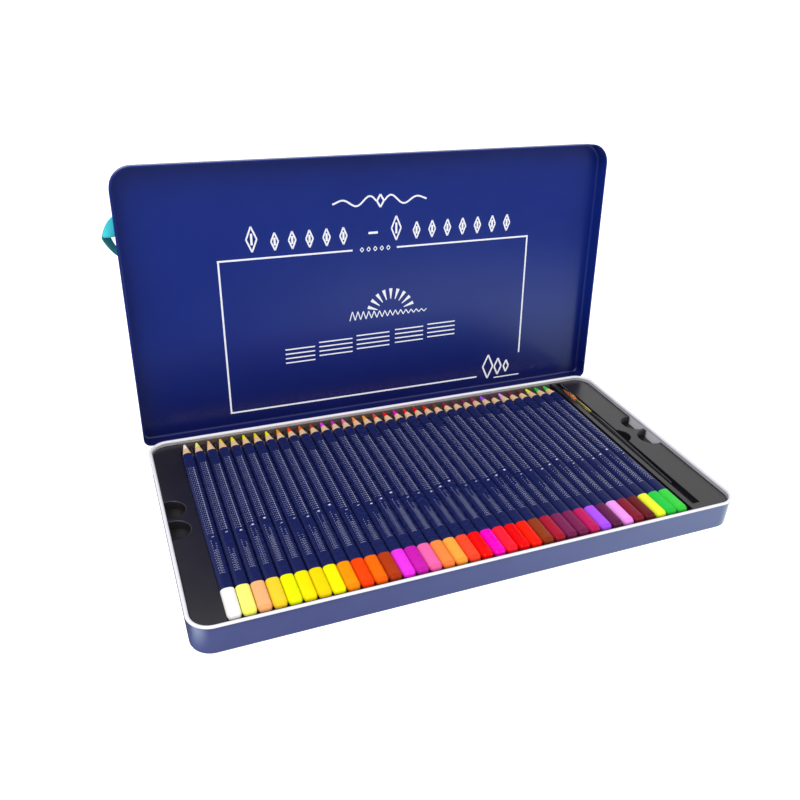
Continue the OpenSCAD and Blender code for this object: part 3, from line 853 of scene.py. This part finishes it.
def foil_tree():
    """Rows of strokes, then a mark and rows of dots, along a side that faces up.

    The side bulges, so a row lies a little lower the further it is from the middle."""
    tree = Tree(
        "foil_print",
        dots=36, dot_start=0.072, dot_pitch=0.0021, dot_length=0.00065, dot_width=0.0005,
        row_gap=0.00095, side_radius=side_radius, strokes=24, stroke_start=0.034,
        stroke_pitch=0.0017, stroke_length=0.0012, stroke_width=0.00017, mark_length=0.0011,
        shift=0.0, depth=0.00008,
    )
    depth = tree.input("depth")
    rows = []

    def add_row(bar, across, slant, count, start, pitch):
        from_middle = tree.math("MULTIPLY", tree.input("row_gap"), across)
        aside = tree.math("ADD", from_middle, tree.input("shift"))
        squared = tree.math("MULTIPLY", aside, aside)
        bulge = tree.math("MULTIPLY", tree.input("side_radius"), -2.0)
        first = tree.vector(x=aside, y=start, z=tree.math("DIVIDE", squared, bulge))
        slanted = tree.turned(bar, (0.0, 0.0, math.radians(slant)))
        rows.append(tree.row(slanted, count, first, tree.vector(y=pitch)))

    for across, share in dot_rows:
        width = tree.math("MULTIPLY", tree.input("dot_width"), share)
        dot = tree.bar(width, tree.input("dot_length"), depth)
        add_row(dot, across, dot_slant, tree.input("dots"), tree.input("dot_start"),
                tree.input("dot_pitch"))
    for across, share, spread, slant in stroke_rows:
        length = tree.math("MULTIPLY", tree.input("stroke_length"), share)
        pitch = tree.math("MULTIPLY", tree.input("stroke_pitch"), spread)
        stroke = tree.bar(length, tree.input("stroke_width"), depth)
        add_row(stroke, across, slant, tree.input("strokes"), tree.input("stroke_start"), pitch)
    mark_start = tree.math("SUBTRACT", tree.input("dot_start"), mark_before_dots)
    mark = tree.bar(mark_width, tree.input("mark_length"), depth)
    add_row(mark, mark_across, mark_slant, 1, mark_start, MM)
    tree.finish_with(tree.join(*rows), silver_foil.material)
    return tree


# Five stampings that differ in length, so that neighbours don't look alike, as
# (start of the dots, strokes, length of a stroke, length of the mark), in mm.
stampings = [
    (70, 14, 1.3, 0.4), (74, 17, 1.0, 1.1), (72, 10, 1.2, 0.5), (78, 16, 1.5, 1.3),
    (71, 12, 1.1, 0.9),
]
dot_counts = (35, 37, 33, 36, 34, 36)
shifts = (0.0, 0.3, -0.3, 0.2, -0.2)
foil = foil_tree()
for number, name in enumerate(pencil_names):
    x, y, z = upper_places[name][:3]
    dot_start, strokes, stroke_length, mark_length = stampings[(number * 7) % 5]
    made = foil.build(
        f"foil_print_{number + 1:02d}",
        dots=dot_counts[(number * 5) % 6],
        dot_start=dot_start * MM,
        strokes=strokes,
        stroke_length=stroke_length * MM,
        mark_length=mark_length * MM,
        shift=shifts[(number * 3) % 5] * MM,
    )
    made.data.transform(Matrix.Translation((x, y, z + face_to_axis)))
    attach(made, name)

# ---------------------------------------------------------------- brush
# A small round brush: a black lacquered handle pressed into a brass ferrule, brown hair
# glued into its other end, and a clear sleeve that keeps the hair to its point.


def brush_lacquer():
    finish = Finish("brush_lacquer", Coat_Weight=0.15, Coat_Roughness=0.15)
    place = finish.place()
    cloud = finish.noise(place, 120.0)
    finish.use(Base_Color=finish.mix(cloud, rgb(16, 16, 18), rgb(24, 24, 27)))
    finish.use(Roughness=finish.mapped(cloud, 0.34, 0.46))
    return finish


def ferrule_brass():
    finish = Finish("ferrule_brass", Metallic=1.0)
    place = finish.place()
    drawn = finish.noise(finish.stretched(place, (2500.0, 60.0, 2500.0)), 1.0, 2.0)
    finish.use(Base_Color=finish.mix(drawn, rgb(196, 172, 74), rgb(244, 226, 120)))
    finish.use(Roughness=finish.mapped(drawn, 0.18, 0.34))
    return finish


def hair_finish():
    finish = Finish("brush_hair", Coat_Weight=0.2)
    place = finish.place()
    strand = finish.noise(finish.stretched(place, (5000.0, 80.0, 5000.0)), 1.0, 3.0)
    finish.use(Base_Color=finish.mix(strand, rgb(216, 108, 46), rgb(255, 180, 98)))
    finish.use(Roughness=finish.mapped(strand, 0.4, 0.6))
    return finish


def clear_sleeve():
    finish = Finish("clear_sleeve", Transmission_Weight=1.0, IOR=1.2)
    place = finish.place()
    haze = finish.noise(place, 200.0)
    finish.use(Base_Color=finish.mix(haze, rgb(228, 236, 240), rgb(246, 250, 252)))
    finish.use(Roughness=finish.mapped(haze, 0.06, 0.16))
    return finish


paint("brush_handle", brush_lacquer())
paint("brush_ferrule", ferrule_brass())
paint("brush_sleeve", clear_sleeve())

hair_low, hair_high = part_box("brush_hair")
# How far the bundle swells and what is left of it at the point, as shares of its radius.
hair_belly, hair_point = 0.45, 0.04


def hair_tree(material):
    """Tapered hairs that stand on a disc, swell to a belly and lean in to one point."""
    tree = Tree("brush_hairs", bundle_radius=0.0011, hair_length=0.0185, hair_radius=0.00009)
    disc = tree.node(
        "GeometryNodeMeshCircle", {"fill_type": "TRIANGLE_FAN"},
        {"Vertices": 24, "Radius": tree.input("bundle_radius")},
    )
    spots = tree.node(
        "GeometryNodeDistributePointsOnFaces", {},
        {"Mesh": disc, "Density": 6.0e7, "Seed": 4},
    )
    hair = tree.node(
        "GeometryNodeMeshCone", {"fill_type": "NGON"},
        {"Vertices": 5, "Side Segments": 5, "Radius Top": 0.00001,
         "Radius Bottom": tree.input("hair_radius"), "Depth": tree.input("hair_length")},
    )
    standing = tree.node("GeometryNodeInstanceOnPoints", {}, {"Points": spots, "Instance": hair})
    real = tree.node("GeometryNodeRealizeInstances", {}, [standing])
    split = tree.node(
        "ShaderNodeSeparateXYZ", {}, [tree.node("GeometryNodeInputPosition", {}, [])]
    ).node
    x, y, z = split.outputs
    share = tree.math("DIVIDE", z, tree.input("hair_length"))
    wave = tree.math("SINE", tree.math("MULTIPLY", share, 3.6))
    belly = tree.math("ADD", 1.0, tree.math("MULTIPLY", hair_belly, wave))
    taper = tree.math("SUBTRACT", 1.0, tree.math("POWER", tree.math("MAXIMUM", share, 0.0), 3.0))
    squeeze = tree.math("MULTIPLY", belly, tree.math("MAXIMUM", taper, hair_point))
    place = tree.vector(
        x=tree.math("MULTIPLY", x, squeeze), y=tree.math("MULTIPLY", y, squeeze), z=z
    )
    shaped = tree.node("GeometryNodeSetPosition", {}, {"Geometry": real, "Position": place})
    tree.finish_with(shaped, material)
    return tree


hair_axis = Vector(((hair_low.x + hair_high.x) / 2, hair_low.y, (hair_low.z + hair_high.z) / 2))
hairs = hair_tree(hair_finish().material).build(
    "brush_hairs",
    hair_length=hair_high.y - hair_low.y,
    bundle_radius=1.05 * (hair_high.x - hair_low.x) / 2,
)
hairs.data.transform(Matrix.Translation(hair_axis) @ Matrix.Rotation(math.radians(-90), 4, "X"))
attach(hairs, "brush")
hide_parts("brush_hair")

# ---------------------------------------------------------------- ribbon loop
# A short loop of woven teal ribbon, fixed flat to the lid's left side. It comes out of the
# wall broad, folds over and goes back in below. It lets the lid be pulled open.

ribbon_thickness = 0.5 * MM
# The strip's own measures, in mm: the weave and the painted highlight near the edges follow
# them.
ribbon_width = 7.0
ribbon_length = 30.0
fold_from, fold_to = 11.5, 12.5
edge_from, edge_to = 2.6, 3.1
weave_rate = 9.0


def ribbon_finish():
    finish = Finish("woven_ribbon", Sheen_Weight=0.3)
    across = finish.attribute("across")
    along = finish.attribute("along")
    warp = finish.node("ShaderNodeMath", {"operation": "SINE"}, [along * weave_rate])
    weft = finish.node("ShaderNodeMath", {"operation": "SINE"}, [across * weave_rate])
    weave = (warp * weft + 1.0) * 0.5
    folded = along.between(fold_from, fold_to)
    lit = finish.mix(weave, rgb(22, 182, 198), rgb(60, 220, 230))
    shaded = finish.mix(weave, rgb(8, 106, 120), rgb(22, 136, 148))
    colour = finish.mix(folded, lit, shaded)
    # Painted highlight: a paler line near both edges, on the folded-back, shaded part only.
    edge_highlight = abs(across).between(edge_from, edge_to) * folded
    finish.use(Base_Color=finish.mix(edge_highlight, colour, rgb(56, 160, 156)))
    finish.use(Roughness=finish.mapped(weave, 0.5, 0.8))
    finish.bump(weave, 0.0001, 0.5)
    return finish


# Both edges of the ribbon, as (out from the wall, up the lid, depth in it), in mm.
ribbon_outer = [
    (-0.4, 157.8, 21.2), (3.4, 154.4, 21.2), (6.2, 149.8, 21.0), (7.6, 146.0, 21.0),
    (8.0, 144.0, 21.8), (7.3, 141.6, 22.4), (5.0, 137.6, 22.6), (2.3, 134.0, 22.6),
    (-0.4, 131.4, 22.6),
]
ribbon_inner = [
    (-0.4, 145.2, 19.0), (2.2, 145.0, 18.4), (4.9, 145.2, 17.8), (7.2, 145.8, 17.4),
    (5.6, 147.6, 23.4), (3.0, 144.4, 23.8), (1.5, 140.9, 23.8), (0.4, 138.6, 23.8),
    (-0.4, 137.4, 23.8),
]


def eased(points, share):
    """A point of a smooth curve through the points, at a share of the way along them."""
    last = len(points) - 1
    place = share * last
    n = min(int(place), last - 1)
    t = place - n
    p = [Vector(points[min(max(n + k, 0), last)]) for k in (-1, 0, 1, 2)]
    bend = 2 * p[0] - 5 * p[1] + 4 * p[2] - p[3]
    twist = 3 * p[1] - 3 * p[2] + p[3] - p[0]
    return 0.5 * (2 * p[1] + (p[2] - p[0]) * t + bend * t * t + twist * t * t * t)


def ribbon_strip():
    mesh = bmesh.new()
    layers = {n: mesh.verts.layers.float.new(n) for n in ("across", "along")}
    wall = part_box("ribbon_loop")[1].x
    to_lid = lid_face()
    rows = []
    steps, slices = 72, 10
    for n in range(steps + 1):
        outer = eased(ribbon_outer, n / steps)
        inner = eased(ribbon_inner, n / steps)
        row = []
        for m in range(slices + 1):
            out, up, deep = outer.lerp(inner, m / slices)
            place = Vector((wall - out * MM, up * MM, face_height - deep * MM))
            vertex = mesh.verts.new(to_lid @ place)
            vertex[layers["across"]] = (m / slices - 0.5) * ribbon_width
            vertex[layers["along"]] = n / steps * ribbon_length
            row.append(vertex)
        rows.append(row)
    for low, high in zip(rows, rows[1:]):
        for m in range(slices):
            mesh.faces.new((low[m], low[m + 1], high[m + 1], high[m])).smooth = True
    bmesh.ops.recalc_face_normals(mesh, faces=mesh.faces)
    made = object_of(mesh, "ribbon_strip", ribbon_finish())
    dip_coat_and_lid_shade = made.modifiers.new("thickness", "SOLIDIFY")
    dip_coat_and_lid_shade.thickness = ribbon_thickness
    dip_coat_and_lid_shade.offset = 0.0
    return made


ribbon = ribbon_strip()
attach(ribbon, "lid")
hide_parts("ribbon_loop")

# ---------------------------------------------------------------- floor, light and camera
# A pale floor and a pale room in soft light, and a camera above the front left corner.

camera_place = (-0.19665, -0.3998, 0.3238)
camera_azimuth, camera_elevation, camera_roll = 22.84, 29.4, 2.66
camera_lens = 36.1
room_light, room_white = 0.6, 1.1


def camera_at(place, azimuth, elevation, roll, lens):
    """A camera at place. Azimuth 0 looks along +Y and turns towards +X, roll is clockwise."""
    azimuth, elevation, roll = (math.radians(a) for a in (azimuth, elevation, roll))
    forward = Vector((math.sin(azimuth) * math.cos(elevation),
                      math.cos(azimuth) * math.cos(elevation), -math.sin(elevation)))
    level = Vector((math.cos(azimuth), -math.sin(azimuth), 0.0))
    upright = level.cross(forward)
    right = level * math.cos(roll) + upright * math.sin(roll)
    up = upright * math.cos(roll) - level * math.sin(roll)
    data = bpy.data.cameras.new("camera")
    data.lens = lens
    data.sensor_width = 36.0
    data.clip_start = 0.01
    made = bpy.data.objects.new("camera", data)
    bpy.context.scene.collection.objects.link(made)
    turn = Matrix((right, up, -forward)).transposed().to_4x4()
    made.matrix_world = Matrix.Translation(place) @ turn
    bpy.context.scene.camera = made


camera_at(camera_place, camera_azimuth, camera_elevation, camera_roll, camera_lens)


def seen_by(tree, *kinds):
    """1 for rays of these kinds and 0 for all others."""
    rays = tree.nodes.new("ShaderNodeLightPath")
    seen = rays.outputs[f"Is {kinds[0]} Ray"]
    for kind in kinds[1:]:
        both = tree.nodes.new("ShaderNodeMath")
        both.operation = "MAXIMUM"
        tree.links.new(seen, both.inputs[0])
        tree.links.new(rays.outputs[f"Is {kind} Ray"], both.inputs[1])
        seen = both.outputs[0]
    return seen


def room():
    """A soft room, which the camera and mirrors see paler than the light that it gives."""
    world = bpy.data.worlds.new("room")
    bpy.context.scene.world = world
    world.use_nodes = True
    tree = world.node_tree
    light = tree.nodes["Background"]
    light.inputs["Color"].default_value = (1.0, 1.0, 1.0, 1.0)
    light.inputs["Strength"].default_value = room_light
    white = tree.nodes.new("ShaderNodeBackground")
    white.inputs["Strength"].default_value = room_white
    mix = tree.nodes.new("ShaderNodeMixShader")
    tree.links.new(seen_by(tree, "Camera", "Glossy", "Transmission"), mix.inputs[0])
    tree.links.new(light.outputs[0], mix.inputs[1])
    tree.links.new(white.outputs[0], mix.inputs[2])
    tree.links.new(mix.outputs[0], tree.nodes["World Output"].inputs[0])


def bright_patch(tree, place, middle, reach, strength):
    """Light that fades over a reach from the middle of a patch of the floor.

    Both reach and strength are pairs, at the middle and at the rim."""
    away = tree.nodes.new("ShaderNodeVectorMath")
    away.operation = "DISTANCE"
    away.inputs[1].default_value = middle
    tree.links.new(place, away.inputs[0])
    fade = tree.nodes.new("ShaderNodeMapRange")
    fade.interpolation_type = "SMOOTHSTEP"
    for socket, value in zip(("From Min", "From Max", "To Min", "To Max"), (*reach, *strength)):
        fade.inputs[socket].default_value = value
    tree.links.new(away.outputs["Value"], fade.inputs["Value"])
    return fade.outputs[0]


floor_reach = 20.0
floor_glow = 0.7
# What metal and lacquer mirror of the floor: a broad sheen at the front right and a small
# one by the front left corner, each as (middle, reach, strength).
broad_sheen = ((0.26, -0.22, 0.0), (0.06, 0.42), (1.6, 0.1))
corner_sheen = ((-0.2, -0.1, 0.0), (0.004, 0.03), (4.2, 0.0))


def pale_floor():
    """A pale floor that glows for the camera and shows its two sheens in mirrors."""
    far = floor_reach
    data = bpy.data.meshes.new("floor")
    data.from_pydata([(-far, -far, 0), (far, -far, 0), (far, far, 0), (-far, far, 0)],
                     [], [(0, 1, 2, 3)])
    floor = bpy.data.objects.new("floor", data)
    bpy.context.scene.collection.objects.link(floor)
    cover = bpy.data.materials.new("floor")
    cover.use_nodes = True
    tree = cover.node_tree
    shader = tree.nodes["Principled BSDF"]
    shader.inputs["Base Color"].default_value = (0.86, 0.86, 0.87, 1.0)
    shader.inputs["Roughness"].default_value = 0.9
    shader.inputs["Emission Color"].default_value = (1.0, 1.0, 1.0, 1.0)
    glow = tree.nodes.new("ShaderNodeMath")
    glow.operation = "MULTIPLY"
    glow.inputs[1].default_value = floor_glow
    tree.links.new(seen_by(tree, "Camera", "Transmission"), glow.inputs[0])
    tree.links.new(glow.outputs[0], shader.inputs["Emission Strength"])
    spot = tree.nodes.new("ShaderNodeNewGeometry").outputs["Position"]
    both = tree.nodes.new("ShaderNodeMath")
    both.operation = "ADD"
    tree.links.new(bright_patch(tree, spot, *broad_sheen), both.inputs[0])
    tree.links.new(bright_patch(tree, spot, *corner_sheen), both.inputs[1])
    mirrored = tree.nodes.new("ShaderNodeEmission")
    mirrored.inputs["Color"].default_value = (0.84, 1.0, 1.0, 1.0)
    tree.links.new(both.outputs[0], mirrored.inputs["Strength"])
    mix = tree.nodes.new("ShaderNodeMixShader")
    tree.links.new(seen_by(tree, "Glossy"), mix.inputs[0])
    tree.links.new(shader.outputs[0], mix.inputs[1])
    tree.links.new(mirrored.outputs[0], mix.inputs[2])
    tree.links.new(mix.outputs[0], tree.nodes["Material Output"].inputs[0])
    data.materials.append(cover)


def soft_lamp(name, place, size, power):
    """A round lamp that faces the tin."""
    data = bpy.data.lights.new(name, "AREA")
    data.shape = "DISK"
    data.size = size
    data.energy = power
    lamp = bpy.data.objects.new(name, data)
    bpy.context.scene.collection.objects.link(lamp)
    lamp.location = place
    aim = Vector((0.0, 0.0, 0.05)) - Vector(place)
    lamp.rotation_euler = aim.to_track_quat("-Z", "Y").to_euler()


room()
pale_floor()
soft_lamp("key", (-0.9, -0.5, 1.5), 1.4, 18.0)
soft_lamp("fill", (1.3, -0.9, 1.0), 1.6, 9.0)
bpy.context.scene.view_settings.view_transform = "Standard"
